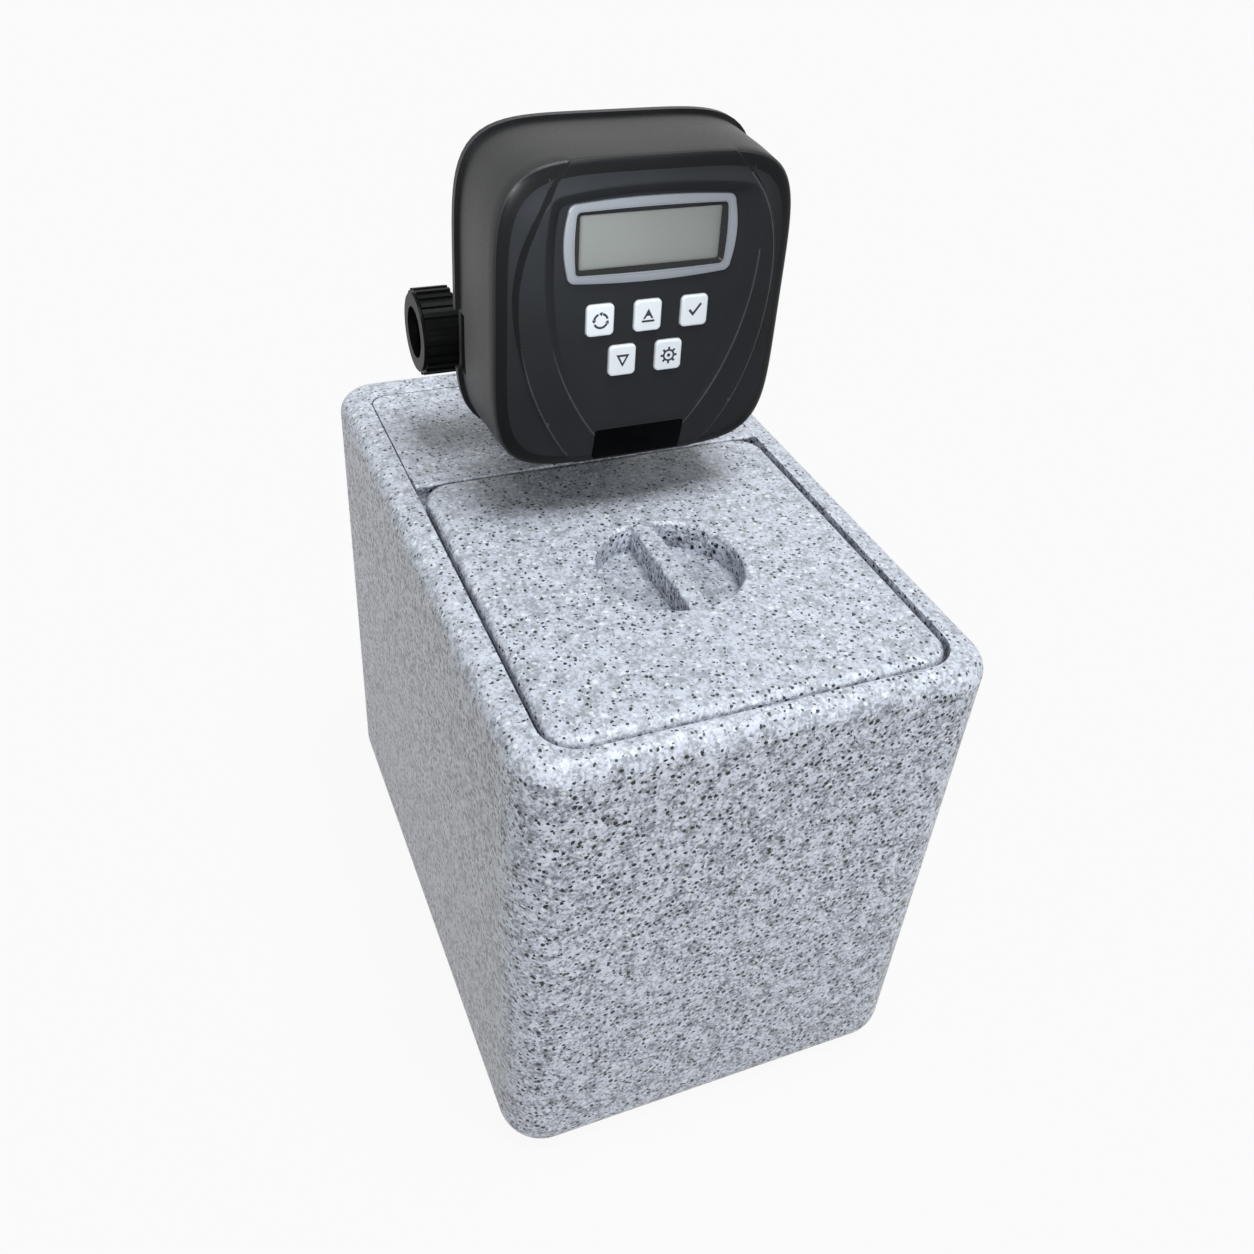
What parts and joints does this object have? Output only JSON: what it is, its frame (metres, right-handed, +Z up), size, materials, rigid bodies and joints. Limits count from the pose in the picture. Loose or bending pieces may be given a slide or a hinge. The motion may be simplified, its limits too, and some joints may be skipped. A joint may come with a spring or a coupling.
{
  "type": "cabinet water softener",
  "caption": "Compact cabinet water softener: speckled moulded brine cabinet with lift-up salt lid, resin vessel inside and a motor-driven control valve with display and buttons on top.",
  "frame": {"origin": "on the floor, under the middle of the cabinet's 300 x 450 mm footprint", "axes": "+Z up, +X to the right of someone facing the display, -Y towards the front with lid and display"},
  "size_m": [0.3, 0.477, 0.6095],
  "materials": {
    "granite": "moulded, granite speckle",
    "cover_plastic": "fine grain",
    "valve_plastic": "moulded glass-filled",
    "black_plastic": "moulded",
    "gloss_black": "polished",
    "bezel_grey": "satin silver",
    "white_plastic": "fine satin",
    "natural_plastic": "natural moulded",
    "blue_plastic": "moulded",
    "red_plastic": "moulded",
    "clear_tube": "extruded",
    "tank_blue": "wound composite",
    "resin": "bead bed",
    "rubber": "moulded",
    "steel": "plated",
    "brass": "turned",
    "board_green": "lacquered",
    "lcd": "satin display",
    "window": "clear"
  },
  "bodies": {
    "softener": {"cabinet": "granite", "rear_cover": "granite", "overflow_elbow": "black_plastic", "overflow_nut": "black_plastic", "brine_well": "natural_plastic", "well_cap": "black_plastic", "brine_valve": "black_plastic", "check_cage": "natural_plastic", "float_stop": "rubber", "brine_tube": "clear_tube", "tube_nut": "black_plastic", "brine_elbow": "black_plastic", "tank_foot": "black_plastic", "resin_tank": "tank_blue", "resin_bed": "resin", "riser_tube": "natural_plastic", "lower_basket": "natural_plastic", "upper_basket": "natural_plastic", "neck_ring": "rubber", "valve_body": "valve_plastic", "spacer_stack": "natural_plastic", "drive_cap": "valve_plastic", "injector": "brass", "injector_cap": "black_plastic", "drain_elbow": "black_plastic", "drain_clip": "red_plastic", "port_rings": "steel", "port_washers": "rubber", "turbine_cage": "natural_plastic", "back_plate": "cover_plastic", "drive_bracket": "black_plastic", "bracket_screws": "steel", "drive_motor": "steel", "circuit_board": "board_green", "key_switches": "black_plastic", "lcd_panel": "lcd", "lcd_window": "window", "lcd_bezel": "bezel_grey", "front_cover": "cover_plastic", "label_plate": "gloss_black", "power_inlet": "black_plastic"},
    "lid": {"salt_lid": "granite"},
    "float": {"safety_float": "white_plastic"},
    "ball": {"check_ball": "rubber"},
    "piston": {"main_piston": "natural_plastic"},
    "inlet_union": {"inlet_nut": "valve_plastic"},
    "outlet_union": {"outlet_nut": "valve_plastic"},
    "turbine": {"meter_turbine": "blue_plastic"},
    "drive_gear": {"main_gear": "white_plastic"},
    "second_gear": {"gear_stage_two": "white_plastic"},
    "first_gear": {"gear_stage_one": "white_plastic"},
    "pinion": {"motor_pinion": "brass"},
    "key_cycle": {"button_cycle": "white_plastic"},
    "key_up": {"button_up": "white_plastic"},
    "key_tick": {"button_tick": "white_plastic"},
    "key_down": {"button_down": "white_plastic"},
    "key_gear": {"button_gear": "white_plastic"}
  },
  "joints": [
    {"name": "lid_tilt", "type": "hinge", "parent": "softener", "child": "lid", "pos_m": [0, 0.054, 0.3673], "axis": [-1, 0, 0], "range_deg": [0, 25]},
    {"name": "float_rise", "type": "slide", "parent": "softener", "child": "float", "axis": [0, 0, 1], "range_m": [0, 0.07]},
    {"name": "ball_lift", "type": "slide", "parent": "softener", "child": "ball", "axis": [0, 0, 1], "range_m": [0, 0.007]},
    {"name": "drive_gear_turn", "type": "hinge", "parent": "softener", "child": "drive_gear", "pos_m": [0, 0.0465, 0.5], "axis": [0, 1, 0], "range_deg": [0, 900]},
    {"name": "second_gear_turn", "type": "hinge", "parent": "softener", "child": "second_gear", "pos_m": [-0.03118, 0.04, 0.518], "axis": [0, 1, 0], "range_deg": [-4500, 0]},
    {"name": "first_gear_turn", "type": "hinge", "parent": "softener", "child": "first_gear", "pos_m": [-0.04418, 0.033, 0.54052], "axis": [0, 1, 0], "range_deg": [0, 15001]},
    {"name": "pinion_turn", "type": "hinge", "parent": "softener", "child": "pinion", "pos_m": [-0.02162, 0.028, 0.54873], "axis": [0, 1, 0], "range_deg": [-45001, 0]},
    {"name": "piston_stroke", "type": "slide", "parent": "softener", "child": "piston", "axis": [0, -1, 0], "range_m": [0, 0.022]},
    {"name": "turbine_spin", "type": "hinge", "parent": "softener", "child": "turbine", "pos_m": [0.0605, 0.117, 0.457], "axis": [1, 0, 0], "continuous": true},
    {"name": "inlet_nut_turn", "type": "hinge", "parent": "softener", "child": "inlet_union", "pos_m": [-0.098, 0.117, 0.457], "axis": [1, 0, 0], "continuous": true},
    {"name": "outlet_nut_turn", "type": "hinge", "parent": "softener", "child": "outlet_union", "pos_m": [0.098, 0.117, 0.457], "axis": [1, 0, 0], "continuous": true},
    {"name": "press_cycle", "type": "slide", "parent": "softener", "child": "key_cycle", "axis": [0, 0.999, -0.0436], "range_m": [0, 0.001], "stiffness_N_per_m": 800, "springref_m": -0.0004},
    {"name": "press_up", "type": "slide", "parent": "softener", "child": "key_up", "axis": [0, 0.999, -0.0436], "range_m": [0, 0.001], "stiffness_N_per_m": 800, "springref_m": -0.0004},
    {"name": "press_tick", "type": "slide", "parent": "softener", "child": "key_tick", "axis": [0, 0.999, -0.0436], "range_m": [0, 0.001], "stiffness_N_per_m": 800, "springref_m": -0.0004},
    {"name": "press_down", "type": "slide", "parent": "softener", "child": "key_down", "axis": [0, 0.999, -0.0436], "range_m": [0, 0.001], "stiffness_N_per_m": 800, "springref_m": -0.0004},
    {"name": "press_gear", "type": "slide", "parent": "softener", "child": "key_gear", "axis": [0, 0.999, -0.0436], "range_m": [0, 0.001], "stiffness_N_per_m": 800, "springref_m": -0.0004}
  ],
  "couplings": [
    {"joint": "second_gear_turn", "follows": "drive_gear_turn", "ratio": -5},
    {"joint": "first_gear_turn", "follows": "drive_gear_turn", "ratio": 16.667},
    {"joint": "pinion_turn", "follows": "drive_gear_turn", "ratio": -50},
    {"joint": "piston_stroke", "follows": "drive_gear_turn", "m_per_rad": 0.0014006}
  ]
}
